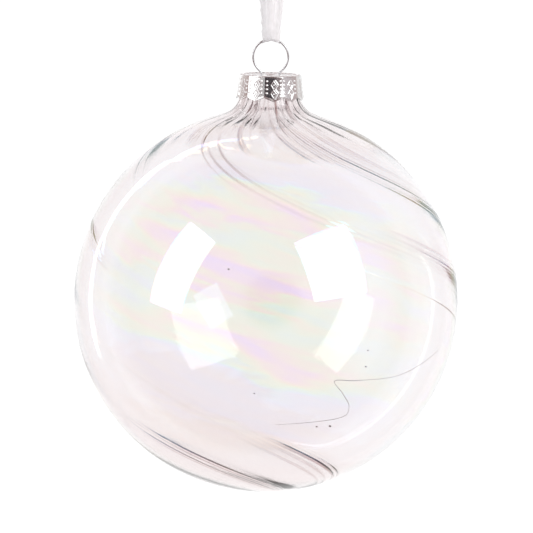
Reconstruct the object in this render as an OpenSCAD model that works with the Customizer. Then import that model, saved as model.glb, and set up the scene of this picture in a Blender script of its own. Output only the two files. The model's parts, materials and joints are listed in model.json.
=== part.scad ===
// Hanging glass ball ornament: a blown ball with spiral ribs, a stamped cap,
// a spring-wire hanger and a tied ribbon loop.
// Origin: the inside top of the ribbon loop, where a hook or twig carries it.
// +Z is up, X runs across the wire ring, and -Y is the front.

/* [Ball] */
// Outside diameter of the ball
ball_d = 100; // [80:1:120]
// Thickness of the glass
glass = 1; // [0.8:0.1:1.5]
// Outside diameter of the neck
neck_d = 15; // [14:0.1:15.2]
// Radius of the hollow curve between neck and shoulder
shoulder_r = 6; // [4:0.5:7]
// Height of the rim of the neck over the crown of the ball
neck_rise = 8.5; // [7.5:0.1:9]

/* [Spiral ribs] */
// How many ribs wind from the neck to the bottom
rib_count = 5; // [2:1:6]
// Turns that each rib makes on its way down
rib_turns = 0.9; // [0.5:0.1:1.5]
// Width of a rib at the widest part of the ball
rib_w = 8; // [4:0.5:10]
// How far a rib stands into the ball
rib_in = 1; // [0.5:0.1:2]
// How far a rib stands out of the ball
rib_out = 0.3; // [0.2:0.1:0.6]

/* [Cap] */
// Diameter across the top of the cap
cap_top_d = 16.2; // [16.2:0.1:17]
// Diameter across the flared foot of the skirt
cap_foot_d = 17.6; // [17.2:0.1:18.5]
// Height of the cap down to the tips of its teeth
cap_h = 6.3; // [6:0.1:7.5]
// Thickness of the sheet metal
sheet = 0.3; // [0.25:0.05:0.35]
// Panels, each with one tooth, round the skirt
panel_count = 11; // [8:1:12]
// Depth of the notches between the teeth
tooth_h = 0.9; // [0.5:0.1:1.2]

/* [Hanger] */
// Thickness of the wire
wire_d = 0.55; // [0.5:0.05:0.6]
// Diameter of the ring, measured on the middle of the wire
ring_d = 9.1; // [8.5:0.1:10]
// Distance between the two legs where they enter the cap
leg_gap = 4.7; // [4.2:0.1:5.2]
// Angle at which the legs splay towards the inside of the neck
leg_splay = 18; // [8:1:18]
// Straight length of each leg inside the cap, which lets the ring be drawn up
leg_straight = 4; // [4:0.1:5]
// Depth of the splayed ends under the top of the cap
leg_depth = 14; // [11:0.5:14]
// Radius of the bends in the wire
wire_bend_r = 0.8; // [0.6:0.1:1]

/* [Ribbon] */
// Height of the loop from the wire ring to the hanging point
loop_h = 60; // [40:1:90]
// Width of the ribbon where it is gathered round the wire
ribbon_w_ring = 4.3; // [3:0.1:4.5]
// Width of the ribbon where it lies open
ribbon_w = 6; // [5:0.1:8]
// Thickness of the gathered ribbon
ribbon_t = 0.4; // [0.3:0.05:0.5]
// Inside radius of the bend round the wire
bend_r = 1; // [1:0.05:1.5]
// Inside radius of the bend over the hook or twig
hook_r = 4; // [2:0.1:5]
// Length of each loose end above the knot
tail_l = 13; // [8:1:20]

/* [Hidden] */
$fn = 48;
ball_fn = 120;       // facets round the glass in the viewer
slack = 0.05;        // gap between pieces that rest on each other
slot_slack = 0.1;    // gap all round a leg in its slot
join = 0.01;         // overlap that joins the solids of one piece

ball_r = ball_d / 2;
neck_r = neck_d / 2;
ring_r = ring_d / 2;
wire_r = wire_d / 2;
leg_x = leg_gap / 2;

// Heights, from the hanging point down
leg_turn_h = 0.6;    // over the cap, where the wire turns from the ring into its legs
ring_top_z = -loop_h;
ring_z = ring_top_z - ring_r;
ring_foot_x = ring_r * cos(45);
ring_foot_z = ring_z - ring_foot_x;
cap_top_z = ring_foot_z - (ring_foot_x - leg_x) - leg_turn_h;
neck_rim_z = cap_top_z - sheet - slack;
ball_z = neck_rim_z - neck_rise - ball_r;

function unit(v) = v / norm(v);

// A point on a sphere: polar is the angle down from its top, turn the angle round its axis
function polar_point(r, polar, turn) =
    r * [sin(polar) * cos(turn), sin(polar) * sin(turn), cos(polar)];

// ---- Glass ball ----

// Half section of the glass at a depth under its outer face, up to a height over the ball's centre
module glass_section(depth, top) {
    bend_x = neck_r + shoulder_r;
    bend_z = sqrt(pow(ball_r + shoulder_r, 2) - pow(bend_x, 2));
    intersection() {
        translate([0, -ball_r]) square([ball_r, ball_r + top]);
        union() {
            circle(ball_r - depth);
            square([neck_r - depth, top]);
            difference() {
                polygon([[0, 0], [bend_x, bend_z], [0, bend_z]]);
                translate([bend_x, bend_z]) circle(shoulder_r + depth);
            }
        }
    }
}

// Four corners of a rib's section, a fraction t of the way down: outer edge, side, inner edge, side
function rib_section(start, t) =
    let (
        rib_top = 16,
        rib_foot = 164,
        polar = rib_top + t * (rib_foot - rib_top),
        turn = start + 360 * rib_turns * t,
        out = polar_point(1, polar, turn),
        down = polar_point(1, polar + 90, turn),
        round = [-sin(turn), cos(turn), 0],
        along = unit(down * (rib_foot - rib_top) + round * 360 * rib_turns * sin(polar)),
        side = cross(out, along),
        middle = out * (ball_r - glass / 2),
        half_w = rib_w / 2 * (0.4 + 0.6 * sin(180 * t))
    )
    [
        middle + out * (glass / 2 + rib_out),
        middle + side * half_w,
        middle - out * (glass / 2 + rib_in),
        middle - side * half_w
    ];

// One rib: a spiral ridge whose section is a flat rhombus set in the middle of the glass
module rib(start) {
    steps = 36;
    corners = 4;
    points = [for (i = [0 : steps]) each rib_section(start, i / steps)];
    sides = [
        for (i = [0 : steps - 1], c = [0 : corners - 1])
            let (a = i * corners + c, b = i * corners + (c + 1) % corners)
            each [[a, b, b + corners], [a, b + corners, a + corners]]
    ];
    last = steps * corners;
    polyhedron(points, concat(
        [[3, 2, 1, 0]],
        sides,
        [[last, last + 1, last + 2, last + 3]]
    ));
}

module glass_ball() {
    neck_top = ball_r + neck_rise;
    color([0.95, 0.9, 0.95, 0.5]) translate([0, 0, ball_z]) {
        rotate_extrude($fn = ball_fn) difference() {
            glass_section(0, neck_top);
            glass_section(glass, neck_top + join);
        }
        for (i = [0 : rib_count - 1]) rib(-90 + i * 360 / rib_count);
    }
}

// ---- Cap ----

// Radius of the outside of the skirt at a depth under the top of the cap
function skirt_r(depth) = (cap_top_d + (cap_foot_d - cap_top_d) * depth / cap_h) / 2;

// Raised marks of one panel, two diamonds over each other with a column of dots to the side
module panel_marks() {
    mark_h = 0.25;
    dot_r = 0.28;
    diamond_r = 0.85;
    lean = atan((cap_foot_d - cap_top_d) / 2 / cap_h);
    step = 360 / panel_count;
    for (depth = [2.1, 4.3])
        translate([skirt_r(depth) - sheet / 2, 0, -depth]) rotate([0, 90 - lean, 0])
            cylinder(h = sheet / 2 + mark_h, r = diamond_r, $fn = 4);
    for (i = [0 : 3]) let (depth = 1.6 + i * 1.2)
        rotate([0, 0, step / 2]) translate([skirt_r(depth) - sheet / 2, 0, -depth])
            rotate([0, 90 - lean, 0]) cylinder(h = sheet / 2 + mark_h, r = dot_r);
}

// Notch between two teeth at the foot of the skirt
module tooth_notch() {
    half_w = PI * cap_foot_d / panel_count / 2;
    reach = cap_foot_d / 2 + 1;
    rotate([90, 0, 90]) linear_extrude(height = reach)
        polygon([[-half_w, -cap_h - join], [0, -cap_h + tooth_h], [half_w, -cap_h - join]]);
}

module leg_slot(side) {
    slot_r = wire_r + slot_slack;
    slot_l = 0.6;
    translate([side * leg_x, 0, -2 * sheet]) linear_extrude(height = 4 * sheet) union() {
        translate([0, -slot_l / 2]) circle(slot_r);
        translate([0, slot_l / 2]) circle(slot_r);
        translate([-slot_r, -slot_l / 2]) square([2 * slot_r, slot_l]);
    }
}

module cap() {
    bead_r = 0.3;
    dome_r = 1.5;
    dome_h = 0.5;
    step = 360 / panel_count;
    color("silver") translate([0, 0, cap_top_z]) difference() {
        union() {
            difference() {
                translate([0, 0, -cap_h])
                    cylinder(h = cap_h, d1 = cap_foot_d, d2 = cap_top_d);
                translate([0, 0, -cap_h - join]) cylinder(
                    h = cap_h - sheet + join,
                    r1 = cap_foot_d / 2 - sheet,
                    r2 = skirt_r(sheet) - sheet
                );
            }
            rotate_extrude() translate([cap_top_d / 2 - bead_r, 0]) circle(bead_r);
            intersection() {
                translate([0, 0, dome_h - dome_ball_r(dome_r, dome_h)])
                    sphere(dome_ball_r(dome_r, dome_h));
                translate([0, 0, -sheet / 2]) cylinder(h = 1, r = dome_r);
            }
            for (i = [0 : panel_count - 1]) rotate([0, 0, (i + 0.5) * step]) panel_marks();
        }
        for (i = [0 : panel_count - 1]) rotate([0, 0, i * step]) tooth_notch();
        leg_slot(-1);
        leg_slot(1);
    }
}

// Radius of the ball of which a dome of this radius and height is the top
function dome_ball_r(r, h) = (r * r + h * h) / (2 * h);

// ---- Hanger ----

// Points on an arc about a centre, from one angle to another
function arc(centre, r, from, to, steps) =
    [for (i = [0 : steps]) let (a = from + (to - from) * i / steps) centre + r * [cos(a), sin(a)]];

function mirrored(line) = [for (p = line) [-p.x, p.y]];

function reversed(line) = [for (i = [1 : len(line)]) line[len(line) - i]];

// Middle of the wire of the right leg, from its end in the neck up to the ring: the splayed end, a
// bend, the straight length through the cap, and a bend into the ring's own slope of 45 degrees
function leg_line() =
    let (
        steps = 4,
        bend_z = cap_top_z - leg_straight,
        splayed = (leg_depth - leg_straight) * tan(leg_splay),
        turn_z = ring_foot_z - (ring_foot_x - leg_x) - wire_bend_r * tan(22.5)
    )
    concat(
        [[leg_x + splayed, cap_top_z - leg_depth]],
        arc([leg_x + wire_bend_r, bend_z], wire_bend_r, 180 + leg_splay, 180, steps),
        arc([leg_x + wire_bend_r, turn_z], wire_bend_r, 180, 135, steps)
    );

// Middle of the whole wire in the XZ plane: right leg, ring, left leg
function wire_line() = concat(
    leg_line(),
    arc([0, ring_z], ring_r, -45, 225, 48),
    reversed(mirrored(leg_line()))
);

module hanger_wire() {
    corners = 12;
    line = wire_line();
    last = len(line) - 1;
    function section(i) =
        let (
            ahead = unit(line[min(i + 1, last)] - line[max(i - 1, 0)]),
            across = [-ahead.y, ahead.x]
        )
        [
            for (c = [0 : corners - 1])
                let (a = 360 * c / corners, p = line[i] + wire_r * cos(a) * across)
                [p.x, wire_r * sin(a), p.y]
        ];
    sides = [
        for (i = [0 : last - 1], c = [0 : corners - 1])
            let (a = i * corners + c, b = i * corners + (c + 1) % corners)
            each [[a, b + corners, b], [a, a + corners, b + corners]]
    ];
    color("gainsboro") polyhedron([for (i = [0 : last]) each section(i)], concat(
        [[for (c = [0 : corners - 1]) c]],
        sides,
        [[for (c = [1 : corners]) last * corners + corners - c]]
    ));
}

// ---- Ribbon ----

// Side outline of the tied loop at an offset into the ribbon: a bend round the wire, two strands
// and a bend over the hook
module loop_outline(grow) {
    hull() {
        translate([0, ring_top_z]) circle(bend_r + grow);
        translate([0, -hook_r]) circle(hook_r + grow);
    }
}

// Front outline of the ribbon: gathered at the wire and open above it
module ribbon_front() {
    open_z = ring_top_z + 12;
    polygon([
        [-ribbon_w_ring / 2, ring_top_z - 2 * bend_r],
        [-ribbon_w_ring / 2, ring_top_z],
        [-ribbon_w / 2, open_z],
        [-ribbon_w / 2, hook_r],
        [ribbon_w / 2, hook_r],
        [ribbon_w / 2, open_z],
        [ribbon_w_ring / 2, ring_top_z],
        [ribbon_w_ring / 2, ring_top_z - 2 * bend_r]
    ]);
}

module ribbon_loop() {
    knot_r = 2.4;
    knot_z = ribbon_t + knot_r - 0.5;
    tail_lean = 18;
    color([0.95, 0.94, 0.96]) {
        intersection() {
            rotate([90, 0, 90]) linear_extrude(height = 2 * ribbon_w, center = true)
                difference() {
                    loop_outline(ribbon_t);
                    loop_outline(0);
                }
            rotate([90, 0, 0]) linear_extrude(height = 4 * hook_r, center = true) ribbon_front();
        }
        translate([0, 0, knot_z]) sphere(knot_r);
        for (side = [-1, 1])
            translate([0, 0, knot_z]) rotate([0, side * tail_lean, 0])
                translate([-ribbon_w / 4, side * ribbon_t - ribbon_t / 2, 0])
                    cube([ribbon_w / 2, ribbon_t, tail_l]);
    }
}

glass_ball();
cap();
hanger_wire();
ribbon_loop();
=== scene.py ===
"""Glass ball ornament: the looks of a blown ball with spiral ribs and a pearl film, its stamped cap,
its wire ring and its sheer ribbon loop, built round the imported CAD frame. All sizes are in metres."""

import json
import math

import bmesh
import bpy
import numpy as np
from mathutils import Matrix, Vector


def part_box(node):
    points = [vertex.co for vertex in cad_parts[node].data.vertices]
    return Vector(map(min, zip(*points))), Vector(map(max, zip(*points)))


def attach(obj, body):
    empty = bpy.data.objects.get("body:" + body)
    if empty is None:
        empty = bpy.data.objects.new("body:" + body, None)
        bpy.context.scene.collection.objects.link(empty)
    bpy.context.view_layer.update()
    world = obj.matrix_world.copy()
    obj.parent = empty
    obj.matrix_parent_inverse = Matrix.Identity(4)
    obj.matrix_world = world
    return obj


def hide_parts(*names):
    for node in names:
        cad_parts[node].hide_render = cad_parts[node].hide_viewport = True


MM = 0.001
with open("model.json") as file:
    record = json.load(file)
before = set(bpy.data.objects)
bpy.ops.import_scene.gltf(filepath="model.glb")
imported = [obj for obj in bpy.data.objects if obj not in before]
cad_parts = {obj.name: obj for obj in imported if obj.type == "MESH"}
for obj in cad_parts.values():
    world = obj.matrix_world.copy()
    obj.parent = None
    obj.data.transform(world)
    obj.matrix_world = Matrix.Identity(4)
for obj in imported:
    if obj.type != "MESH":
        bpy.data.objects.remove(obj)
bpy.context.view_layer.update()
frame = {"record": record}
record = frame["record"]

# ---- Sizes shared by the pieces, as the CAD has them ----

NECK_RISE = 8.5 * MM
NECK_R = 7.5 * MM
SHOULDER_R = 6.0 * MM
GLASS = 1.0 * MM

ball_low, ball_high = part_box("glass_ball")
BALL_R = (ball_high.z - ball_low.z - NECK_RISE) / 2
BALL_Z = ball_low.z + BALL_R


# ---- Curves ----

def smoothstep(low, high, x):
    """0 up to low, 1 from high on, and a smooth rise between them."""
    t = np.clip((x - low) / (high - low), 0, 1)
    return t * t * (3 - 2 * t)


def bell(x):
    """A rounded hump that is 1 at 0 and nearly 0 beyond 2."""
    return np.exp(-(x ** 2))


def wrapped(angle):
    """Angle in degrees brought to -180..180."""
    return (angle + 180) % 360 - 180


def around(corners):
    """Angles of that many even steps round a circle."""
    return 2 * math.pi * np.arange(corners) / corners


def arc(centre, r, start, end, steps):
    """Places on a circle in a plane, from one angle in degrees to another."""
    angles = np.radians(np.linspace(start, end, steps))
    return np.stack([centre[0] + r * np.cos(angles), centre[1] + r * np.sin(angles)], axis=-1)


def curve(a, b, c, d, t):
    """Places on a smooth curve from b to c, for t from 0 to 1. It comes from a and goes on to d."""
    squared = a - 2.5 * b + 2 * c - d / 2
    cubed = (3 * (b - c) + d - a) / 2
    return b + t * (c - a) / 2 + t ** 2 * squared + t ** 3 * cubed


# ---- Mesh helpers ----

def new_object(name, vertices, faces):
    """A smooth-shaded mesh object in the scene."""
    mesh = bpy.data.meshes.new(name)
    mesh.from_pydata([tuple(v) for v in vertices], [], [tuple(f) for f in faces])
    mesh.polygons.foreach_set("use_smooth", [True] * len(mesh.polygons))
    mesh.update()
    obj = bpy.data.objects.new(name, mesh)
    bpy.context.scene.collection.objects.link(obj)
    return obj


def grid_faces(rows, columns, wrap_rows=False, wrap_columns=False, flipped=False):
    """Quads of a grid of vertices that is numbered row by row."""
    index = np.arange(rows * columns).reshape(rows, columns)
    after = np.roll(index, -1, axis=0)
    beside = np.roll(index, -1, axis=1)
    corner = np.roll(after, -1, axis=1)
    order = [index, beside, corner, after] if flipped else [index, after, corner, beside]
    quads = np.stack(order, axis=-1)
    quads = quads if wrap_rows else quads[:-1]
    quads = quads if wrap_columns else quads[:, :-1]
    return quads.reshape(-1, 4).tolist()


def sweep(name, points, outline, scale, closed):
    """A tube along points that mostly lie in a plane facing Y. The outline is sideways and Y offsets."""
    if closed:
        ahead = np.roll(points, -1, axis=0) - np.roll(points, 1, axis=0)
    else:
        ahead = np.gradient(points, axis=0)
    side = np.cross(ahead, (0, 1, 0))
    side /= np.linalg.norm(side, axis=1, keepdims=True)
    over = np.cross(side, ahead)
    over /= np.linalg.norm(over, axis=1, keepdims=True)
    sized = outline[None, :, :] * np.reshape(scale, (-1, 1, 1))
    skin = points[:, None, :] + sized[:, :, 0:1] * side[:, None, :] + sized[:, :, 1:2] * over[:, None, :]
    count = len(outline)
    faces = grid_faces(len(points), count, wrap_rows=closed, wrap_columns=True)
    if not closed:
        last = (len(points) - 1) * count
        faces += [list(range(count)), list(range(last, last + count))[::-1]]
    return new_object(name, skin.reshape(-1, 3), faces)


def thicken(obj, thickness, outwards):
    """Gives a sheet its thickness, to the side that its faces look at or to the other side."""
    sheet = obj.modifiers.new("thickness", "SOLIDIFY")
    sheet.thickness = thickness
    sheet.offset = 1 if outwards else -1


def store_vectors(obj, name, vectors):
    """Keeps a vector for each vertex, for the material to read."""
    attribute = obj.data.attributes.new(name, "FLOAT_VECTOR", "POINT")
    attribute.data.foreach_set("vector", np.asarray(vectors, dtype=np.float32).ravel())


def store_shares(obj, name, shares):
    """Keeps a number from 0 to 1 for each vertex, for the material to read."""
    attribute = obj.data.attributes.new(name, "FLOAT", "POINT")
    attribute.data.foreach_set("value", np.asarray(shares, dtype=np.float32).ravel())


# ---- Node helpers ----

class Graph:
    """Builds a node tree: every call makes one node, and most return its output socket."""

    def __init__(self, tree):
        self.tree = tree
        tree.nodes.clear()

    def feed(self, socket, value):
        if isinstance(value, bpy.types.NodeSocket):
            self.tree.links.new(value, socket)
        else:
            socket.default_value = value

    def node(self, kind, settings=None, **inputs):
        made = self.tree.nodes.new(kind)
        for key, value in (settings or {}).items():
            setattr(made, key, value)
        for key, value in inputs.items():
            self.feed(made.inputs[key.replace("_", " ")], value)
        return made

    def fed(self, made, values):
        """Feeds a node's first inputs in order and returns its first output."""
        for socket, value in zip(made.inputs, values):
            self.feed(socket, value)
        return made.outputs[0]

    def maths(self, operation, *values):
        return self.fed(self.node("ShaderNodeMath", {"operation": operation}), values)

    def vectors(self, operation, *values):
        made = self.node("ShaderNodeVectorMath", {"operation": operation})
        self.fed(made, values)
        return made.outputs["Value" if operation == "DOT_PRODUCT" else "Vector"]

    def ramp(self, value, stops):
        """A colour for each value from 0 to 1, eased between stops: a place, and red, green and blue."""
        made = self.node("ShaderNodeValToRGB")
        made.color_ramp.interpolation = "EASE"
        elements = made.color_ramp.elements
        while len(elements) < len(stops):
            elements.new(1)
        for element, (place, colour) in zip(elements, stops):
            element.position = place
            element.color = (*colour, 1)
        return self.fed(made, [value])

    def remap(self, value, low, high, to_low, to_high, smooth=False):
        kind = "SMOOTHSTEP" if smooth else "LINEAR"
        made = self.node("ShaderNodeMapRange", {"interpolation_type": kind})
        return self.fed(made, (value, low, high, to_low, to_high))

    def noise(self, vector, scale, detail=2.0, roughness=0.5, distortion=0.0):
        made = self.node(
            "ShaderNodeTexNoise",
            Vector=vector,
            Scale=scale,
            Detail=detail,
            Roughness=roughness,
            Distortion=distortion,
        )
        return made.outputs[0]

    def stretched(self, vector, x, y, z):
        return self.vectors("MULTIPLY", vector, (x, y, z))

    def stored(self, name, output):
        return self.node("ShaderNodeAttribute", {"attribute_name": name}).outputs[output]

    def place(self):
        return self.node("ShaderNodeTexCoord").outputs["Object"]

    def split(self, vector):
        return self.node("ShaderNodeSeparateXYZ", Vector=vector).outputs

    def bump(self, height, strength, distance):
        return self.node("ShaderNodeBump", Strength=strength, Distance=distance, Height=height).outputs[0]

    def blended(self, share, first, second):
        return self.fed(self.node("ShaderNodeMixShader"), (share, first, second))

    def mix(self, share, first, second):
        made = self.node("ShaderNodeMix", {"data_type": "RGBA"})
        self.feed(made.inputs[0], share)
        self.feed(made.inputs[6], first)
        self.feed(made.inputs[7], second)
        return made.outputs[2]


def new_material(name):
    """A material and the graph that builds its nodes."""
    material = bpy.data.materials.new(name)
    material.use_nodes = True
    return material, Graph(material.node_tree)


def finish_material(graph, surface):
    graph.node("ShaderNodeOutputMaterial", Surface=surface)


# ---- Glass ball ----

# The ribs: the angle round the ball at which each crosses the equator, how many fine lines it
# has, and how strongly it stands out at some latitudes, from the foot of the ball up. Each line is a ridge
# inside the glass with painted shade along it
RIBS = (
    (166, 7, ((-60, 0.3), (20, 0.45), (45, 0.9), (62, 1.0), (74, 0.6))),
    (99, 5, ((-50, 0.2), (-5, 0.15), (22, 0.12), (40, 0.15), (48, 0.8), (56, 1.3), (76, 1.0))),
    (113, 4, ((3, 0.0), (9, 1.0), (20, 0.8), (27, 0.0))),
    (-20, 3, ((11, 0.0), (15, 0.6), (20, 0.6), (24, 0.0))),
    (42, 3, ((38, 0.0), (45, 0.4), (53, 0.4), (60, 0.0))),
    (-83, 5, (
        (-80, 0.2), (-68, 0.4), (-56, 0.9), (-50, 1.4), (-42, 1.2), (-36, 0.1), (20, 0.06), (60, 0.3),
    )),
    (-134, 4, ((-80, 0.2), (-68, 1.0), (-45, 1.3), (-40, 0.5), (-34, 0.06), (20, 0.05), (50, 0.3))),
    (82, 3, ((56, 0.0), (62, 0.7), (74, 0.8))),
    (120, 4, ((54, 0.0), (60, 1.0), (76, 1.0))),
    (151, 3, ((50, 0.0), (55, 0.8), (70, 0.8))),
    (-122, 4, ((44, 0.0), (52, 0.6), (70, 0.6))),
)
TWIST = 1.9              # degrees that a rib goes round the ball for each degree that it goes down
TWIST_MORE = 0.9         # how much more that is round the middle
TWIST_ENDS = (40, 84)    # latitudes between which the twist fades out towards the neck
RIB_SLOPE = 2.3          # the twist that a rib's width is measured with
RIB_HALF_W = 3.4 * MM
RIB_IN = 0.17 * MM
RIB_OUT = 0.10 * MM
RIB_SHADE = 0.10         # painted shade over a rib between its lines, standing in for the dark that it refracts
SHADE_ENDS = (45, 66)    # latitudes between which that fades out, where the ribs crowd together
LINE_STEP = 1.05 * MM
LINE_H = 0.12 * MM
LINE_DARK_SHARE = 0.7    # width of a line's painted dark core over the width of its ridge
CREASE = 73              # equator angle of one fine crease that runs between the ribs
CREASE_H = 0.07 * MM
CREASE_HALF_W = 0.13 * MM
CREASE_FOOT = (-12, -2)  # latitudes between which it comes in
CREASE_HEAD = (26, 34)   # and between which it goes out
# Flutes that the gathered glass leaves in the neck: how many go round, share of the height, phase
FLUTES = ((13, 1.0, 0.6), (23, 0.7, 2.0), (37, 0.5, 0.0))
FLUTE_H = 0.055 * MM
FLUTE_ENDS = (50, 76)    # latitudes between which they come in


def swirl(latitude):
    """How far round a rib has gone, in degrees, by the time it is down from the equator at a latitude.
    The ribs twist most round the middle and run straight up the neck."""
    steps = np.linspace(-90, 90, 721)
    twist = (TWIST + TWIST_MORE * bell((steps - 10) / 24)) * (1 - smoothstep(*TWIST_ENDS, steps))
    turned = np.cumsum(twist) * (steps[1] - steps[0])
    turned -= np.interp(0, steps, turned)
    return -np.interp(latitude, steps, turned)


def rib_columns():
    """Angles of the mesh's columns, which follow the ribs and lie close together near each of them."""
    near, fine, coarse = 9, 0.4, 0.9
    crossings = (*(rib[0] for rib in RIBS), CREASE)
    places, angle = [], -180.0
    while angle < 180 - fine:
        places.append(angle)
        gap = min(abs(wrapped(angle - crossing)) for crossing in crossings)
        angle += fine if gap < near else coarse
    return np.array(places)


def glass_profile():
    """Rows down the outside of the glass: radius, height, outward normal and latitude."""
    neck_steps, bend_steps, ball_steps = 10, 26, 270
    eased_rows, passes = 80, 60
    bend_x = NECK_R + SHOULDER_R
    bend_z = math.sqrt((BALL_R + SHOULDER_R) ** 2 - bend_x ** 2)
    touch = math.asin(bend_x / (BALL_R + SHOULDER_R))
    top_latitude = 90 - math.degrees(touch)
    foot_latitude = -89.6
    rows = []
    for z in np.linspace(BALL_R + NECK_RISE - GLASS / 2, bend_z, neck_steps, endpoint=False):
        rows.append((NECK_R, z, 1, 0, top_latitude))
    for a in np.linspace(math.pi, math.pi * 1.5 - touch, bend_steps, endpoint=False):
        r = bend_x + SHOULDER_R * math.cos(a)
        z = bend_z + SHOULDER_R * math.sin(a)
        rows.append((r, z, -math.cos(a), -math.sin(a), top_latitude))
    for latitude in np.linspace(top_latitude, foot_latitude, ball_steps):
        a = math.radians(latitude)
        rows.append((BALL_R * math.cos(a), BALL_R * math.sin(a), math.cos(a), math.sin(a), latitude))
    return eased(np.array(rows), eased_rows, passes)


def eased(rows, count, passes):
    """The profile with its first rows smoothed, so that no line shows where the neck runs into the ball."""
    soft = rows[:count].copy()
    for _ in range(passes):
        soft[1:-1] = (soft[:-2] + soft[2:]) / 4 + soft[1:-1] / 2
    rows = np.vstack([soft, rows[count:]])
    rows[:, 2:4] /= np.linalg.norm(rows[:, 2:4], axis=1, keepdims=True)
    return rows


def fine_line(random, from_middle, away, latitude):
    """One fine line of a rib, a ridge inside the glass with painted shade along it: how many half widths each
    place is away from it, and how strong the line is at each latitude. It wanders, and it fades in and out."""
    middle = from_middle * LINE_STEP + random.uniform(-0.3, 0.3) * MM
    wander = 0.35 * MM * np.sin(np.radians(latitude * random.uniform(2, 4)) + random.uniform(0, 6))
    half_w = random.uniform(0.20, 0.36) * MM
    fade = 0.5 + 0.5 * np.sin(np.radians(latitude * random.uniform(4, 8)) + random.uniform(0, 6))
    return (away - middle - wander) / half_w, fade * random.uniform(0.4, 1.0)


def rib_relief(rows, columns):
    """Heights that the ribs add outside and inside, and the painted shade over their crests and along their
    fine lines, for each row and column."""
    random = np.random.default_rng(7)
    radius, latitude = rows[:, 0:1], rows[:, 4:5]
    bend = RIB_SLOPE * np.cos(np.radians(latitude))
    across = radius / np.sqrt(1 + bend * bend)

    def from_rib(crossing):
        return np.radians(wrapped(columns - crossing))[None, :] * across

    outside = np.zeros((len(rows), len(columns)))
    inside = np.zeros_like(outside)
    drawn = np.zeros_like(outside)
    # Painted shade, standing in for the dark that the ribs refract: a little over each crest, more along each
    # fine line
    shaded = RIB_SHADE * (1 - smoothstep(*SHADE_ENDS, latitude))
    for crossing, lines, strengths in RIBS:
        strength = np.interp(latitude, *zip(*strengths))
        away = from_rib(crossing)
        crest = np.minimum(strength, 1) * bell(away / RIB_HALF_W)
        outside += RIB_OUT * crest
        inside += RIB_IN * crest
        drawn += shaded * crest
        for line in range(lines):
            from_line, share = fine_line(random, line - (lines - 1) / 2, away, latitude)
            inside += strength * share * LINE_H * bell(from_line)
            drawn += strength * share * bell(from_line / LINE_DARK_SHARE)
    creased = smoothstep(*CREASE_FOOT, latitude) * (1 - smoothstep(*CREASE_HEAD, latitude))
    inside += CREASE_H * bell(from_rib(CREASE) / CREASE_HALF_W) * creased
    turn = np.radians(columns)[None, :]
    flutes = sum(share * np.sin(turn * count + phase) for count, share, phase in FLUTES)
    inside += FLUTE_H * smoothstep(*FLUTE_ENDS, latitude) * flutes
    return outside, inside, np.clip(drawn, 0, 1)


def build_glass():
    """The ball as one closed skin: up the outside, over the rounded lip and down the inside."""
    rows = glass_profile()
    columns = rib_columns()
    outside, inside, drawn = rib_relief(rows, columns)
    turn = np.radians(columns[None, :] + swirl(rows[:, 4:5]) - 90)

    def skin(offset):
        r = rows[:, 0:1] + rows[:, 2:3] * offset
        z = rows[:, 1:2] + rows[:, 3:4] * offset
        return np.stack([r * np.cos(turn), r * np.sin(turn), z + BALL_Z + 0 * turn], axis=-1)

    def ring_order(values):
        return np.concatenate([values[::-1], values[0:1], values])

    lip = skin(np.full_like(outside, -GLASS / 2))[0:1]
    lip[:, :, 2] += GLASS / 2
    rings = np.concatenate([skin(outside)[::-1], lip, skin(-GLASS - inside)])
    count = len(columns)
    low = BALL_Z - BALL_R
    vertices = np.vstack([rings.reshape(-1, 3), [[0, 0, low], [0, 0, low + GLASS]]])
    faces = grid_faces(len(rings), count, wrap_columns=True, flipped=True)
    outer_pole, inner_pole = len(vertices) - 2, len(vertices) - 1
    last = (len(rings) - 1) * count
    for j in range(count):
        k = (j + 1) % count
        faces.append((outer_pole, k, j))
        faces.append((inner_pole, last + j, last + k))
    ball = new_object("glass_ball_blown", vertices, faces)

    # What follows the ribs, so that the film's bands run along with them
    phase = np.radians(columns)[None, :] + 0 * rows[:, 4:5]
    level = rows[:, 4:5] / 90 + 0 * phase
    follow = ring_order(np.stack([np.cos(phase), np.sin(phase), level], axis=-1)).reshape(-1, 3)
    store_vectors(ball, "swirl", np.vstack([follow, [[0, 0, -1], [0, 0, -1]]]))
    store_shares(ball, "drawn", np.append(ring_order(drawn), [0, 0]))
    return ball


# Thickness of the pearl film in nanometres, by latitude in degrees leant along the swirl
FILM = (
    (-60, 164), (-42, 176), (-34, 204), (-21, 210), (-17, 245), (-14, 275), (-9, 292), (-5, 280), (0, 258),
    (5, 262), (9, 298), (13, 304), (17, 292), (20, 280), (23, 264), (26, 280), (29, 308), (32, 296),
    (36, 276), (39, 254), (42, 214), (50, 204), (56, 172), (62, 140), (70, 15),
)
FILM_LEAN = 22           # degrees that the low bands come down from the middle to the right edge
FILM_LEAN_TOP = 9        # degrees that the high ones come down
FILM_WAVE = 5.0          # degrees that a band strays along the ribs
FILM_DRIFT = 3.5         # degrees that it strays elsewhere
FILM_STREAK = 0.08       # how far the film is uneven along the ribs
FILM_IOR = 2.0
THICKEST = 350.0         # the scale of the film's thickness, in nanometres
GLASS_IOR = 1.5
NEAR_WALL = 1.5          # light that has crossed fewer surfaces than this is in the wall nearest the eye
LONG_PATH = 8.5          # and light that has crossed more than this is caught in the glass, where a painted brown glow takes its place
CLEAR = (0.972, 0.980, 1.0, 1)
ROSE_FOOT = (0.945, 0.898, 0.892, 1)
ROSE_TOP = (0.905, 0.862, 0.862, 1)
# painted shade for the rib lines, standing in for the dark that the ribs refract
PAINTED_RIB_SHADE = (0.34, 0.21, 0.20, 1)
# painted glow that stands in for light caught in the glass
CAUGHT_GLOW_PAINTED = (0.42, 0.28, 0.265, 1)


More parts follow.
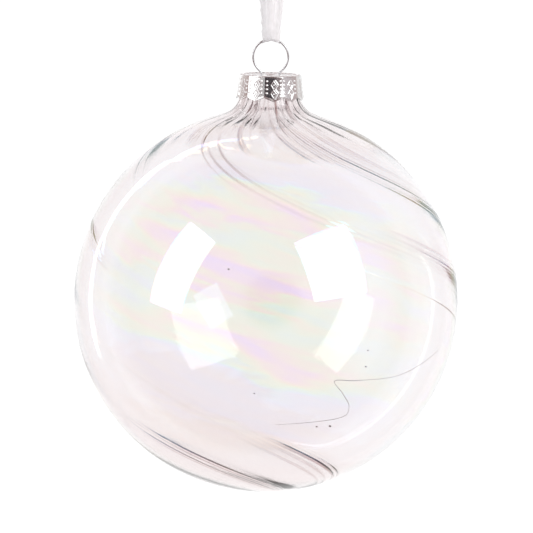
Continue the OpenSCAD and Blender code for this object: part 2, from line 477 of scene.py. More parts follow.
def film_profile(g, follow, place, latitude):
    """Share of the thickest film at a place: bands by latitude that lean and stray."""
    x = g.split(place)[0]
    lean = g.remap(latitude, 0.0, 35.0, FILM_LEAN / BALL_R, FILM_LEAN_TOP / BALL_R)
    leant = g.maths("MULTIPLY_ADD", x, lean, latitude)
    bands = g.noise(g.stretched(follow, 1.0, 1.0, 3.0), 3.2, 3.0, 0.5, 0.4)
    drift = g.noise(place, 40.0, 1.5)
    wave = g.remap(bands, 0.3, 0.7, -FILM_WAVE, FILM_WAVE)
    stray = g.maths("ADD", wave, g.remap(drift, 0.3, 0.7, -FILM_DRIFT, FILM_DRIFT))
    low, high = FILM[0][0], FILM[-1][0]
    stops = [((at - low) / (high - low), (thick / THICKEST,) * 3) for at, thick in FILM]
    return g.ramp(g.remap(g.maths("ADD", leant, stray), low, high, 0.0, 1.0), stops)


def glass_material():
    """Clear glass with a pearl film round the middle, whose bands follow the swirl. The film and the painted
    shade along the rib lines colour only the wall nearest the eye, so that the far wall's do not cross them.
    The film thins out at the limb and the foot. The glass there and at the neck looks rosy, and a painted
    brown glow stands in for light caught in the glass."""
    material, g = new_material("blown_glass")
    follow = g.stored("swirl", "Vector")
    latitude = g.maths("MULTIPLY", g.split(follow)[2], 90.0)
    depth = g.node("ShaderNodeLightPath").outputs["Ray Depth"]
    near_wall = g.maths("LESS_THAN", depth, NEAR_WALL)
    edge = g.node("ShaderNodeLayerWeight", Blend=0.35).outputs["Facing"]

    profile = film_profile(g, follow, g.place(), latitude)
    streaks = g.noise(g.stretched(follow, 1.0, 1.0, 2.6), 4.2, 1.0)
    thickest = g.remap(streaks, 0.3, 0.7, (1 - FILM_STREAK) * THICKEST, (1 + FILM_STREAK) * THICKEST)
    thickness = g.maths("MULTIPLY", g.maths("MULTIPLY", profile, thickest), near_wall)
    low_bare = g.remap(latitude, -40.0, -56.0, 0.0, 1.0)
    bare = g.maths("MAXIMUM", g.remap(edge, 0.62, 0.92, 0.0, 1.0), low_bare)

    filmed = g.remap(profile, 0.47, 0.56, 0.0, 1.0, True)
    rosy = g.remap(edge, 0.25, 0.8, 0.0, 1.0, True)
    rosy = g.maths("MAXIMUM", rosy, g.remap(filmed, 0.0, 1.0, 0.7, 0.0))
    upper = g.remap(latitude, -45.0, 50.0, 0.0, 1.0, True)
    tint = g.mix(rosy, CLEAR, g.mix(upper, ROSE_FOOT, ROSE_TOP))
    # painted shade along the ribs, on the wall nearest the eye only
    tint = g.mix(g.maths("MULTIPLY", g.stored("drawn", "Fac"), near_wall), tint, PAINTED_RIB_SHADE)

    glass = g.node(
        "ShaderNodeBsdfPrincipled",
        Base_Color=tint,
        Roughness=0.0,
        IOR=GLASS_IOR,
        Transmission_Weight=1.0,
        Thin_Film_Thickness=thickness,
        Thin_Film_IOR=g.remap(bare, 0.0, 1.0, FILM_IOR, GLASS_IOR),
    )
    # painted glow in place of the glass, for light caught in it
    caught = g.node("ShaderNodeEmission", Color=CAUGHT_GLOW_PAINTED).outputs[0]
    finish_material(g, g.blended(g.maths("GREATER_THAN", depth, LONG_PATH), glass.outputs["BSDF"], caught))
    material.cycles.emission_sampling = "NONE"
    return material


# A hair-thin thread of darker glass that wanders down the front: turn and latitude, in degrees, of the
# places it goes through
THREAD = ((66, -11), (47, -16.6), (30, -17.2), (22, -17), (25.5, -21.3), (29, -26.3), (26, -30), (4, -32))
THREAD_R = 0.06 * MM
THREAD_DEEP = GLASS + 0.1 * MM
# Tiny seeds in the glass: turn and latitude in degrees, and size in millimetres
SEEDS = (
    (-11.5, 16, 0.17), (32, -8, 0.14), (32, -13, 0.16), (-3, -21, 0.14), (19, -33, 0.17), (24, -33, 0.22),
)
SEED_LONG = 1.6          # length of a seed over its width
SEED_DEEP = GLASS + 0.2 * MM


def on_ball(turn, latitude, deep):
    """The place at a turn and a latitude in degrees, that far under the outside of the ball."""
    a, b = np.radians(turn), np.radians(latitude)
    r = BALL_R - deep
    return np.stack([r * np.cos(b) * np.sin(a), -r * np.cos(b) * np.cos(a), r * np.sin(b) + BALL_Z], axis=-1)


def build_thread():
    """A tube along a smooth curve through the thread's places, thinner at its ends."""
    knots = np.array([THREAD[0], *THREAD, THREAD[-1]], dtype=float)
    t = np.linspace(0, 1, 24, endpoint=False)[:, None]
    pieces = [curve(*four, t) for four in zip(knots, knots[1:], knots[2:], knots[3:])]
    places = np.vstack([*pieces, knots[-1:]])
    points = on_ball(places[:, 0], places[:, 1], THREAD_DEEP)
    angles = around(8)
    outline = THREAD_R * np.stack([np.cos(angles), np.sin(angles)], axis=-1)
    s = np.linspace(0, 1, len(places))
    scale = 0.25 + np.sin(math.pi * s) ** 0.4 * (0.75 + 0.2 * np.sin(23 * s))
    return sweep("glass_thread", points, outline, scale, closed=False)


def build_seeds():
    """Little egg-shaped seeds, each stretched out along the ribs."""
    rings, corners = 7, 10
    up = np.radians(np.linspace(-80, 80, rings))[:, None]
    angles = around(corners)[None, :]
    egg = [SEED_LONG * np.cos(up) * np.cos(angles), np.cos(up) * np.sin(angles), np.sin(up) + 0 * angles]
    egg = np.stack(egg, axis=-1).reshape(-1, 3)
    last = (rings - 1) * corners
    ends = [list(range(corners))[::-1], list(range(last, last + corners))]
    egg_faces = grid_faces(rings, corners, wrap_columns=True) + ends
    vertices, faces = [], []
    for turn, latitude, size in SEEDS:
        faces += [[len(vertices) + i for i in face] for face in egg_faces]
        vertices += (egg * size * MM + on_ball(turn, latitude, SEED_DEEP)).tolist()
    return new_object("glass_seeds", vertices, faces)


def flaw_material():
    """Dark glass for the thread and the seeds, uneven along its length."""
    material, g = new_material("glass_flaw")
    uneven = g.noise(g.place(), 260.0, 2.0)
    shader = g.node(
        "ShaderNodeBsdfPrincipled",
        Base_Color=g.mix(uneven, (0.16, 0.12, 0.13, 1), (0.46, 0.40, 0.42, 1)),
        Roughness=g.remap(uneven, 0.3, 0.7, 0.15, 0.4),
    )
    finish_material(g, shader.outputs["BSDF"])
    return material


# ---- Cap ----

PANELS = 11
PANEL_TURN = 6.4         # degrees from the front to the middle of the nearest panel
PANEL_FLAT = 0.6         # how flat the panels are: 0 is a round skirt, 1 one of eleven flats
CAP_TOP_R = 8.1 * MM
CAP_FOOT_R = 8.8 * MM
CAP_H = 6.3 * MM
TOOTH_H = 0.9 * MM
RIM_R = 0.35 * MM
DOME_R = 1.5 * MM
DOME_H = 0.5 * MM
SHEET = 0.3 * MM
STAMP_H = 0.10 * MM
BEAD_H = 0.38 * MM
BEAD_HALF_W = 0.40 * MM
BEAD_RING_R = 7.1 * MM
BEADS_PER_PANEL = 2
GROOVE_H = 0.15 * MM
GROOVE_HALF_W = 0.35 * MM
GROOVE_R = 5.6 * MM
HEM_H = 0.12 * MM

CAP_TOP_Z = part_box("cap")[1].z - DOME_H


def panel_relief(u, v):
    """Stamped height at a place in a panel: u runs across it from -0.5 to 0.5, v down it from 0 to 1.
    Two outlined diamonds stand over each other with a zigzag on their right, and dots on both sides."""
    half_w, half_h = 0.15, 0.19
    dot_column, dots, dot_step, dot_size = 0.37, 4, 0.19, 0.24
    panel_w_mm, panel_h_mm = 4.9, 6.0
    upper = np.abs(u) / half_w + np.abs(v - 0.31) / half_h
    lower = np.abs(u) / half_w + np.abs(v - 0.69) / half_h
    nearest = np.minimum(upper, lower)
    zigzag = bell((nearest - 1.65) / 0.21) * (np.abs(v - 0.5) < 0.42) * (u > 0.05)
    relief = 0.75 * bell((nearest - 0.92) / 0.13) + zigzag + 0.7 * bell(nearest / 0.25)
    for column in (-dot_column, dot_column):
        for row in range(dots):
            reach = np.hypot((u - column) * panel_w_mm, (v - 0.15 - dot_step * row) * panel_h_mm)
            relief = np.maximum(relief, np.exp(-((reach / dot_size) ** 4)))
    return relief


def cap_rows(turn, u):
    """Rows from the middle of the top out and down the skirt: radius, height and share of stamping."""
    flat = np.cos(math.pi / PANELS) / np.cos(2 * math.pi / PANELS * u)
    steady = np.ones_like(turn)
    rows = []
    # The top: a dome in the middle, a sunk ring and a ring of small beads
    inner = np.linspace(0.05 * MM, 2 * MM, 24)
    outer = np.linspace(2.1 * MM, CAP_TOP_R - RIM_R, 40)
    bead_wave = 0.5 + 0.5 * np.cos(turn * PANELS * BEADS_PER_PANEL)
    for r in np.concatenate([inner, outer]):
        dome = DOME_H * np.cos(min(r / DOME_R, 1) * math.pi / 2)
        beads = bell((r - BEAD_RING_R) / BEAD_HALF_W) * bead_wave
        groove = GROOVE_H * bell((r - GROOVE_R) / GROOVE_HALF_W)
        rows.append((r * steady, dome + BEAD_H * beads - groove, beads))
    # The rounded rim, from a round top to the flats of the skirt
    for a in np.linspace(90, 5, 10):
        reach = CAP_TOP_R - RIM_R + RIM_R * math.cos(math.radians(a))
        rise = RIM_R * (math.sin(math.radians(a)) - 0.6)
        rows.append((reach * (1 + (flat - 1) * PANEL_FLAT * (1 - a / 90)), rise * steady, 0 * turn))
    # The skirt, down to the tips of its teeth
    top = -0.3 * MM
    foot = -CAP_H + TOOTH_H * np.abs(2 * u) ** 1.2
    for v in np.linspace(0.01, 1, 96):
        z = top + (foot - top) * v
        cone = CAP_TOP_R + (CAP_FOOT_R - CAP_TOP_R) * (-z / CAP_H) ** 1.3
        panel = 1 + (flat - 1) * PANEL_FLAT * (1 - 0.4 * v)
        relief = panel_relief(u, v)
        rows.append((cone * panel + STAMP_H * relief + HEM_H * bell((v - 0.97) / 0.04), z, relief))
    return rows


def build_cap():
    """One stamped sheet: domed top, beaded rim, and a skirt of flat panels that end in pointed teeth."""
    per_panel = 56
    columns = PANELS * per_panel
    turn = around(columns)
    rows = cap_rows(turn, (np.arange(columns) % per_panel) / per_panel - 0.5)
    angle = turn + math.radians(PANEL_TURN - 90) - math.pi / PANELS
    rings = [np.stack([r * np.cos(angle), r * np.sin(angle), z + CAP_TOP_Z], axis=-1) for r, z, _ in rows]
    vertices = np.vstack([*rings, [[0, 0, CAP_TOP_Z + DOME_H]]])
    faces = grid_faces(len(rows), columns, wrap_columns=True)
    faces += [(len(vertices) - 1, j, (j + 1) % columns) for j in range(columns)]
    cap = new_object("cap_stamped", vertices, faces)
    store_shares(cap, "stamp", np.append([row[2] for row in rows], 0))
    thicken(cap, SHEET, outwards=False)
    return cap


def cap_material():
    """Bright stamped tinplate with fine rolling marks, painted shade in its recesses and a pale painted
    highlight on the stamped relief.
    """
    material, g = new_material("cap_metal")
    place = g.place()
    cloudy = g.noise(place, 900.0, 3.0, 0.6)
    marks = g.noise(g.stretched(place, 1.0, 1.0, 14.0), 1600.0, 2.0)
    # painted shade: the metal is darker where ambient occlusion finds the surface shut in
    hollow_shade = g.node("ShaderNodeAmbientOcclusion", {"samples": 4}, Distance=0.5 * MM).outputs["AO"]
    colour = g.mix(g.remap(hollow_shade, 0.4, 1.0, 0.0, 1.0), (0.34, 0.34, 0.34, 1), (0.74, 0.76, 0.76, 1))
    up = g.split(g.node("ShaderNodeNewGeometry").outputs["Normal"])[2]
    on_top = g.remap(up, 0.5, 0.95, 0.0, 1.0, True)
    metal = g.node(
        "ShaderNodeBsdfPrincipled",
        Base_Color=g.mix(on_top, colour, (0.68, 0.66, 0.67, 1)),
        Metallic=1.0,
        Roughness=g.maths("MULTIPLY_ADD", on_top, 0.10, g.remap(cloudy, 0.3, 0.7, 0.10, 0.24)),
        Normal=g.bump(marks, 0.12, 0.03 * MM),
    )
    # painted highlight: a pale diffuse coat on the raised stamping stands in for the light that the relief
    # catches
    relief_highlight = g.node("ShaderNodeBsdfDiffuse", Color=(0.93, 0.92, 0.93, 1)).outputs[0]
    pale = g.remap(g.stored("stamp", "Fac"), 0.35, 0.8, 0.0, 0.8, True)
    finish_material(g, g.blended(pale, metal.outputs["BSDF"], relief_highlight))
    return material


# ---- Hanger wire ----

joints = {joint["name"]: joint for joint in record["behaviour"]["joints"]}
mounts = {mount["name"]: mount for mount in record["mounts"]}
RING_TOP_Z = joints["hanger_swing"]["pos_m"][2]
RING_Z = mounts["hanger_ring"]["pos_m"][2]
RING_R = RING_TOP_Z - RING_Z
RING_OPEN = 45           # degrees on each side of straight down at which the ring turns into its legs
WIRE_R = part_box("hanger_wire")[1].z - RING_TOP_Z
WIRE_BEND_R = 0.8 * MM
LEG_X = 2.35 * MM
LEG_STRAIGHT = 4.0 * MM
LEG_SPLAY = 18           # degrees


def wire_line():
    """Middle of the wire in the XZ plane: right leg from its end up, ring, left leg down to its end."""
    open_by = math.radians(RING_OPEN)
    slant_z = (RING_R * math.sin(open_by) - LEG_X) * math.tan(open_by)
    corner_z = RING_Z - RING_R * math.cos(open_by) - slant_z
    turn_z = corner_z - WIRE_BEND_R * math.tan(math.pi / 4 - open_by / 2)
    bend_x = LEG_X + WIRE_BEND_R
    bend_z = CAP_TOP_Z - LEG_STRAIGHT
    splay = math.radians(LEG_SPLAY)
    end_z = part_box("hanger_wire")[0].z + WIRE_R * math.sin(splay)
    end_x = LEG_X + (bend_z - end_z) * math.tan(splay)
    leg = np.vstack([
        [[end_x, end_z]],
        arc((bend_x, bend_z), WIRE_BEND_R, 180 + LEG_SPLAY, 180, 8),
        arc((bend_x, turn_z), WIRE_BEND_R, 180, 90 + RING_OPEN, 12),
    ])
    ring = arc((0, RING_Z), RING_R, RING_OPEN - 90, 270 - RING_OPEN, 140)
    return np.vstack([leg, ring, leg[::-1] * (-1, 1)])


def build_wire():
    line = wire_line()
    points = np.stack([line[:, 0], 0 * line[:, 0], line[:, 1]], axis=-1)
    angles = around(24)
    outline = WIRE_R * np.stack([np.cos(angles), np.sin(angles)], axis=-1)
    scale = np.ones(len(points))
    scale[[0, -1]] = 0.8
    return sweep("hanger_wire_bent", points, outline, scale, closed=False)


def wire_material():
    """Drawn spring steel: bright, with fine streaks and slightly dull patches."""
    material, g = new_material("hanger_steel")
    place = g.place()
    streaks = g.noise(g.stretched(place, 1.0, 6.0, 1.0), 2500.0, 2.0)
    dull = g.noise(place, 400.0, 2.0)
    shader = g.node(
        "ShaderNodeBsdfPrincipled",
        Base_Color=g.mix(dull, (0.66, 0.69, 0.71, 1), (0.84, 0.88, 0.90, 1)),
        Metallic=1.0,
        Roughness=g.remap(streaks, 0.3, 0.7, 0.14, 0.28),
        Normal=g.bump(streaks, 0.2, 0.02 * MM),
    )
    finish_material(g, shader.outputs["BSDF"])
    return material


# ---- Ribbon loop ----

WIRE_BEND = 0.80 * MM    # inside radius of the ribbon's bend under the wire
HOOK_R = 4.0 * MM        # inside radius of its bend over the hook
W_RING = 4.4 * MM
W_OPEN = 6.0 * MM
W_KNOT = 2.4 * MM
OPEN_RISE = 12 * MM      # height over the wire at which the ribbon lies open
KNOT_Z = 2.3 * MM
TAIL_L = 13.0 * MM
TAIL_LEAN = 18           # degrees
TAIL_SLANT = 0.9 * MM    # how much higher the cut end is at its outer corner than at its middle
PICOT_STEP = 2.9 * MM
PICOT_H = 0.32 * MM
PICOT_RIGHT = 0.4        # height of the picots at the right edge over those at the left
WIRE_GAP = 0.06 * MM
CLOTH = 0.07 * MM
STRIP_COLUMNS = 61


def loop_line():
    """Side view of the loop from the knot down the front, under the wire and up the back to the knot:
    Y, Z and the angle of the outward normal at each step."""
    slope = math.degrees(math.asin((HOOK_R - WIRE_BEND) / (-RING_TOP_Z - HOOK_R)))

    def bend(centre_z, r, start, end, steps):
        return np.column_stack([arc((0, centre_z), r, start, end, steps), np.linspace(start, end, steps)])

    over_front = bend(-HOOK_R, HOOK_R, 90, 180 + slope, 22)
    under_wire = bend(RING_TOP_Z, WIRE_BEND, 180 + slope, 360 - slope, 26)
    over_back = bend(-HOOK_R, HOOK_R, 360 - slope, 450, 22)
    down = np.linspace(over_front[-1], under_wire[0], 90)[1:-1]
    up = np.linspace(under_wire[-1], over_back[0], 90)[1:-1]
    return np.vstack([over_front, down, under_wire, up, over_back])


def pleats(u, s, seed):
    """Folds along a gathered strip, from 0 to 1, at a place across it and at a length along it."""
    random = np.random.default_rng(seed)
    p = random.uniform(0, 2 * math.pi, 5)
    drift = 0.5 * np.sin(s / (17 * MM) + p[0]) + 0.3 * np.sin(s / (7 * MM) + p[1])
    waves = 0.5 * np.sin(4.1 * u + drift + p[2]) + 0.35 * np.sin(8.3 * u - 1.4 * drift + p[3])
    return 0.5 + 0.5 * (waves + 0.15 * np.sin(14 * u + 2 * drift + p[4]))


def picots(u, s):
    """Tiny loops that stand out along the selvedges, more so on the left."""
    height = PICOT_H * bell(wrapped(s / PICOT_STEP * 360) / 36) * (np.abs(u) > 0.99)
    return np.where(u < 0, -1, PICOT_RIGHT) * height


def build_strip(name, middles, normals, sides, widths, depth, seed, hug=0.0):
    """A pleated strip of sheer cloth along a line, with picots at its edges. hug shifts its rows and
    columns along their normals."""
    s = np.concatenate([[0], np.cumsum(np.linalg.norm(np.diff(middles, axis=0), axis=1))])[:, None]
    u = np.linspace(-1, 1, STRIP_COLUMNS)[None, :]
    fold = depth[:, None] * pleats(u, s, seed) + hug
    reach = u * (widths[:, None] / 2) + picots(u, s)
    vertices = middles[:, None, :] + reach[:, :, None] * sides[:, None, :]
    vertices = vertices + fold[:, :, None] * normals[:, None, :]
    strip = new_object(name, vertices.reshape(-1, 3), grid_faces(len(middles), STRIP_COLUMNS))
    steep = np.abs(np.gradient(fold, axis=1)) / np.gradient(reach, axis=1)
    dense = np.maximum(np.clip(steep, 0, 1), smoothstep(0.90, 0.98, np.abs(u)))
    store_vectors(strip, "weave", np.stack([reach / MM, s / MM + 0 * reach, dense], axis=-1))
    thicken(strip, CLOTH, outwards=True)
    return strip


def build_loop():
    """The strand of ribbon, gathered under the wire and at the knot and open between them."""
    line = loop_line()
    a = np.radians(line[:, 2])
    zero = np.zeros(len(line))
    middles = np.stack([zero, line[:, 0], line[:, 1]], axis=-1)
    normals = np.stack([zero, np.cos(a), np.sin(a)], axis=-1)
    sides = np.tile([1.0, 0.0, 0.0], (len(line), 1))
    s = np.concatenate([[0], np.cumsum(np.linalg.norm(np.diff(middles, axis=0), axis=1))])
    over_wire = line[:, 1] - RING_TOP_Z
    opened = smoothstep(0, OPEN_RISE, over_wire)
    loose = smoothstep(1 * MM, 9 * MM, np.minimum(s, s[-1] - s))
    widths = W_KNOT + (W_RING + (W_OPEN - W_RING) * opened - W_KNOT) * loose
    depth = (0.22 + 0.55 * opened) * MM
    # Under the wire the strip keeps just clear of the ring's own curve, however far it swings
    x = np.abs(np.linspace(-1, 1, STRIP_COLUMNS)[None, :] * widths[:, None] / 2)
    clear = WIRE_R + WIRE_GAP + RING_R - np.sqrt(RING_R ** 2 - np.minimum(x, W_RING / 2) ** 2)
    hug = (clear - WIRE_BEND) * (1 - smoothstep(0, 3 * MM, over_wire))[:, None]
    return build_strip("ribbon_strand", middles, normals, sides, widths, depth, 3, hug)


def build_tail(name, side):
    """One loose end over the knot, cut at a slant. Side is -1 for the left and 1 for the right."""
    t = np.linspace(0, 1, 46)
    lean = math.radians(TAIL_LEAN) * side
    curl = side * (0.3 * MM + 1.1 * MM * t ** 2)
    middles = np.stack([np.sin(lean) * TAIL_L * t, curl, KNOT_Z + np.cos(lean) * TAIL_L * t], axis=-1)
    normals = np.tile([0.0, 1.0, 0.0], (len(t), 1))
    sides = np.tile([math.cos(lean), 0.0, -math.sin(lean)], (len(t), 1))
    widths = (1.5 + 2.3 * smoothstep(0.1, 1.0, t)) * MM
    depth = (0.7 - 0.3 * t) * MM
    tail = build_strip(name, middles, normals, sides, widths, depth, 8 + side)
    across = np.linspace(-1, 1, STRIP_COLUMNS)[None, :]
    slant = side * TAIL_SLANT * across * smoothstep(0.5, 1.0, t)[:, None]
    for vertex, rise in zip(tail.data.vertices, slant.ravel()):
        vertex.co.z += rise
    return tail


def build_knot():
    """The overhand knot: a gathered cord of ribbon that runs through itself three times."""
    t = around(160)
    reach, depth = 0.52 * MM, 0.85 * MM
    x = reach * (np.sin(t) + 2 * np.sin(2 * t))
    z = reach * (np.cos(t) - 2 * np.cos(2 * t))
    points = np.stack([x, -depth * np.sin(3 * t), z + KNOT_Z], axis=-1)
    angles = around(48)
    crimp = 1 + 0.10 * np.cos(7 * angles) + 0.05 * np.cos(12 * angles + 1)
    outline = np.stack([0.85 * MM * crimp * np.cos(angles), 0.62 * MM * crimp * np.sin(angles)], axis=-1)
    knot = sweep("ribbon_knot", points, outline, 1 + 0.08 * np.sin(5 * t), closed=True)
    across = np.tile(angles / 2 / math.pi * 5, (len(t), 1))
    along = np.tile((t * 2)[:, None], (1, len(angles)))
    store_vectors(knot, "weave", np.stack([across, along, 0.5 + 0 * along], axis=-1))
    return knot


def ribbon_material():
    """Sheer organza: crossing threads with gaps between them, denser at the selvedges and in the folds,
    soft and pale, and greyer to the left where it turns from the light."""
    material, g = new_material("ribbon_organza")
    weave = g.stored("weave", "Vector")
    across, along, folded = g.split(weave)

    def threads(place, per_mm):
        return g.maths("ABSOLUTE", g.maths("SINE", g.maths("MULTIPLY", place, math.pi * per_mm)))

    dense = g.maths("MAXIMUM", threads(across, 5.0), threads(along, 4.0))
    slubs = g.noise(g.stretched(weave, 3.0, 0.4, 0.0), 1.6, 3.0)
    cover = g.maths("ADD", g.remap(dense, 0.3, 1.0, 0.42, 0.54), g.remap(slubs, 0.3, 0.7, -0.04, 0.05))
    cover = g.maths("ADD", cover, g.maths("MULTIPLY", folded, 0.30))
    colour = g.mix(slubs, (0.90, 0.89, 0.905, 1), (0.96, 0.95, 0.96, 1))
    shaded = g.remap(across, -2.4, 0.2, 0.7, 0.0, True)
    colour = g.mix(shaded, colour, (0.74, 0.74, 0.755, 1))
    bump = g.bump(dense, 0.3, 0.04 * MM)
    face = g.node("ShaderNodeBsdfDiffuse", Color=colour, Normal=bump).outputs[0]
    through = g.node("ShaderNodeBsdfTranslucent", Color=colour, Normal=bump).outputs[0]
    shine = g.node("ShaderNodeBsdfGlossy", Roughness=0.45, Normal=bump).outputs[0]
    open_gap = g.node("ShaderNodeBsdfTransparent").outputs[0]
    cloth = g.blended(0.08, g.blended(0.45, face, through), shine)
    finish_material(g, g.blended(cover, open_gap, cloth))
    return material


# ---- Studio ----

CAMERA_AWAY = 1.0        # from the ball to the camera
CAMERA_ABOVE = 6.9       # degrees over the horizon
CAMERA_ROLL = 1.15       # degrees, so that the ornament hangs a little askew
BALL_SHARE = 0.71857     # the ball's diameter over the width of the frame
BALL_DROP = 0.06285      # the ball's centre under the middle of the frame, over the frame's width
SENSOR = 36.0


def make_camera():
    """The photo's camera: far away, a little over the ball, and a little askew."""
    data = bpy.data.cameras.new("camera")
    camera = bpy.data.objects.new("camera", data)
    bpy.context.scene.collection.objects.link(camera)
    width = 2 * BALL_R / BALL_SHARE
    data.sensor_width = SENSOR
    data.lens = SENSOR * CAMERA_AWAY / width
    data.clip_end = 100
    rise = math.radians(CAMERA_ABOVE)
    back = Vector((0, -math.cos(rise), math.sin(rise)))
    up = Vector((0, math.sin(rise), math.cos(rise)))
    aim = Vector((0, 0, BALL_Z)) + up * BALL_DROP * width
    turned = Matrix((Vector((1, 0, 0)), up, back)).transposed().to_4x4()
    roll = Matrix.Rotation(math.radians(CAMERA_ROLL), 4, "Z")
    camera.matrix_world = Matrix.Translation(aim + back * CAMERA_AWAY) @ turned @ roll
    bpy.context.scene.camera = camera
    return camera


# How bright the studio is from right behind the camera (0) round to straight ahead of it (1)
SURROUND = (
    (0.0, (0.35, 0.26, 0.26)),
    (0.46, (0.44, 0.31, 0.30)),
    (0.56, (0.54, 0.40, 0.38)),
    (0.68, (0.77, 0.66, 0.64)),
    (0.88, (0.92, 0.86, 0.85)),
    (0.97, (1.08, 1.07, 1.07)),
    (1.0, (1.12, 1.12, 1.12)),
)
SIDE_WALL = (0.74, 0.67, 0.69, 1)
SHADE = (0.07, 0.06, 0.065, 1)
SHADE_TURN = 4           # degrees to the right of the camera at which its own dark shape is centred
SHADE_HALF = 11          # degrees from there to its edge
SHADE_SOFT = 10          # degrees over which the edge is soft
# Soft boxes behind the camera: turn to the right and height in degrees, half width and half height
# as tangents of their angles, tilt in degrees, and brightness
SOFT_BOXES = (
    (-58, 18, 0.21, 0.42, -18, 3.0),
    (45, 21, 0.33, 0.35, 8, 3.0),
    (-33, -3, 0.15, 0.20, 28, 0.7),
)
BOX_SOFT = 0.01          # half width of a soft box's edge
RIM_LIGHT = 2.7          # brightness of the strip light behind the ball on the left
RIM_SWING = 0.829        # angle from straight ahead to the strip light where it is level, in radians
RIM_WIDEN = 0.143        # how much that angle grows with the square of the climb
RIM_CLIMB = (-0.30, 1.39)  # how far round the strip light reaches from level on the left, in radians
RIM_CLIMB_SOFT = (0.05, 0.03)  # half widths over which its lower and its upper end fade
RIM_HALF_W = 0.031       # and its own half width, with half the width of its soft edge
RIM_SOFT = 0.009


def facing(turn, rise):
    """Direction in the camera's own axes: +X right, +Y up, +Z towards the camera's back."""
    a, b = math.radians(turn), math.radians(rise)
    return Vector((math.sin(a) * math.cos(b), math.sin(b), math.cos(a) * math.cos(b)))


def in_soft_box(g, way, turn, rise, half_w, half_h, tilt):
    """1 where a direction meets a tilted rectangle that faces the ball, and 0 elsewhere."""
    middle = facing(turn, rise)
    right = Vector((0, 1, 0)).cross(middle).normalized()
    top = middle.cross(right)
    spin = math.radians(tilt)
    across = right * math.cos(spin) + top * math.sin(spin)
    upward = top * math.cos(spin) - right * math.sin(spin)
    depth = g.maths("MAXIMUM", g.vectors("DOT_PRODUCT", way, tuple(middle)), 0.001)

    def within(axis, half):
        reach = g.maths("DIVIDE", g.vectors("DOT_PRODUCT", way, tuple(axis)), depth)
        return g.remap(g.maths("ABSOLUTE", reach), half - BOX_SOFT, half + BOX_SOFT, 1.0, 0.0)

    return g.maths("MULTIPLY", within(across, half_w), within(upward, half_h))


def in_rim_light(g, x, y, behind):
    """1 on the strip light, an arc from the lower left up to the top that swings out as it climbs."""
    climb = g.maths("ARCTAN2", y, g.maths("MULTIPLY", x, -1.0))
    arch = g.maths("MULTIPLY_ADD", g.maths("MULTIPLY", climb, climb), RIM_WIDEN, RIM_SWING)
    off = g.maths("ABSOLUTE", g.maths("SUBTRACT", g.maths("ARCCOSINE", behind), arch))
    in_width = g.remap(off, RIM_HALF_W - RIM_SOFT, RIM_HALF_W + RIM_SOFT, 1.0, 0.0)
    (foot, head), (foot_soft, head_soft) = RIM_CLIMB, RIM_CLIMB_SOFT
    over_foot = g.remap(climb, foot - foot_soft, foot + foot_soft, 0.0, 1.0)
    under_head = g.remap(climb, head - head_soft, head + head_soft, 1.0, 0.0)
    return g.maths("MULTIPLY", in_width, g.maths("MULTIPLY", over_foot, under_head))


def dome_material():
    """What the glass and the metal see around them: white straight ahead, darker to the sides, and soft
    boxes behind the camera."""
    material, g = new_material("studio_dome")
    way = g.vectors("NORMALIZE", g.place())
    behind = g.maths("MULTIPLY", g.vectors("DOT_PRODUCT", way, (0.0, 0.0, 1.0)), -1.0)
    x, y, _ = g.split(way)
    level = g.maths("ADD", g.remap(behind, -1.0, 1.0, 0.0, 1.0), g.maths("MULTIPLY", x, 0.05))
    light = g.ramp(level, SURROUND)
    on_right = g.remap(x, 0.5, 0.95, 0.0, 0.85, True)
    light = g.mix(g.maths("MULTIPLY", on_right, g.remap(behind, -0.2, 0.2, 1.0, 0.0)), light, SIDE_WALL)
    towards = g.vectors("DOT_PRODUCT", way, tuple(facing(SHADE_TURN, 0)))
    shade_in, shade_out = (math.cos(math.radians(angle)) for angle in (SHADE_HALF, SHADE_HALF + SHADE_SOFT))
    light = g.mix(g.remap(towards, shade_out, shade_in, 0.0, 1.0, True), light, SHADE)
    for *shape, bright in SOFT_BOXES:
        light = g.mix(in_soft_box(g, way, *shape), light, (bright, bright, bright, 1))
    light = g.mix(in_rim_light(g, x, y, behind), light, (RIM_LIGHT, RIM_LIGHT, RIM_LIGHT, 1))
    finish_material(g, g.node("ShaderNodeEmission", Color=light).outputs[0])
    material.cycles.emission_sampling = "NONE"
    return material


def make_dome(camera):
    """A dome that only the glass and the metal see. It turns with the camera."""
    mesh = bpy.data.meshes.new("studio_dome")
    bm = bmesh.new()
    bmesh.ops.create_icosphere(bm, subdivisions=5, radius=20.0)
    bm.to_mesh(mesh)
    bm.free()
    dome = bpy.data.objects.new("studio_dome", mesh)
    bpy.context.scene.collection.objects.link(dome)
    dome.parent = camera
    dome.data.materials.append(dome_material())
    dome.visible_camera = False
    dome.visible_diffuse = False
    dome.visible_shadow = False
    dome.visible_volume_scatter = False


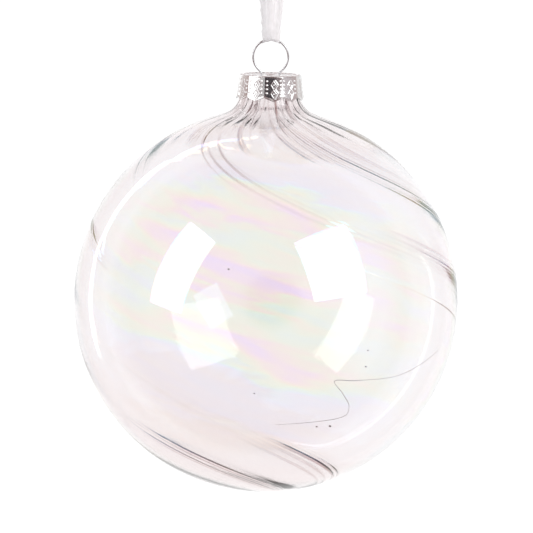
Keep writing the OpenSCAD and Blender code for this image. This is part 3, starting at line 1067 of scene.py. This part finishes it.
def make_floor():
    """A wide pale floor well under the ball, which the glass and the metal do not see."""
    half = 12.0
    z = BALL_Z - BALL_R - 250 * MM
    corners = [(-half, -half, z), (half, -half, z), (half, half, z), (-half, half, z)]
    floor = new_object("floor", corners, [(0, 1, 2, 3)])
    material, g = new_material("pale_floor")
    finish_material(g, g.node("ShaderNodeBsdfDiffuse", Color=(0.97, 0.97, 0.97, 1)).outputs[0])
    floor.data.materials.append(material)
    floor.visible_glossy = False
    floor.visible_transmission = False


def make_world():
    world = bpy.data.worlds.new("studio")
    world.use_nodes = True
    bpy.context.scene.world = world
    g = Graph(world.node_tree)
    shader = g.node("ShaderNodeBackground", Color=(1, 1, 1, 1), Strength=1.08)
    g.node("ShaderNodeOutputWorld", Surface=shader.outputs[0])


def make_key_light():
    """A soft light from the upper left in front, for the ribbon. The glass and the metal do not see it."""
    data = bpy.data.lights.new("key", "AREA")
    data.energy = 12.0
    data.size = 0.8
    light = bpy.data.objects.new("key", data)
    bpy.context.scene.collection.objects.link(light)
    place = Vector((-0.8, -0.9, 1.0))
    light.location = place
    light.rotation_euler = (place - Vector((0, 0, BALL_Z))).to_track_quat("Z", "Y").to_euler()
    light.visible_camera = False
    light.visible_glossy = False
    light.visible_transmission = False


# ---- The ornament ----

def place_piece(obj, body, node, material):
    obj.data.materials.append(material)
    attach(obj, body)
    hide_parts(node)


place_piece(build_glass(), "ball", "glass_ball", glass_material())
dark_glass = flaw_material()
for flaw in (build_thread(), build_seeds()):
    place_piece(flaw, "ball", "glass_ball", dark_glass)
place_piece(build_cap(), "cap", "cap", cap_material())
place_piece(build_wire(), "hanger", "hanger_wire", wire_material())
organza = ribbon_material()
ribbon_pieces = (
    build_loop(),
    build_knot(),
    build_tail("ribbon_tail_left", -1),
    build_tail("ribbon_tail_right", 1),
)
for ribbon_piece in ribbon_pieces:
    place_piece(ribbon_piece, "ribbon", "ribbon_loop", organza)

make_world()
make_floor()
make_key_light()
make_dome(make_camera())
bpy.context.scene.view_settings.view_transform = "Standard"
bpy.context.scene.cycles.max_bounces = 24
bpy.context.scene.cycles.transmission_bounces = 24
bpy.context.scene.cycles.transparent_max_bounces = 24
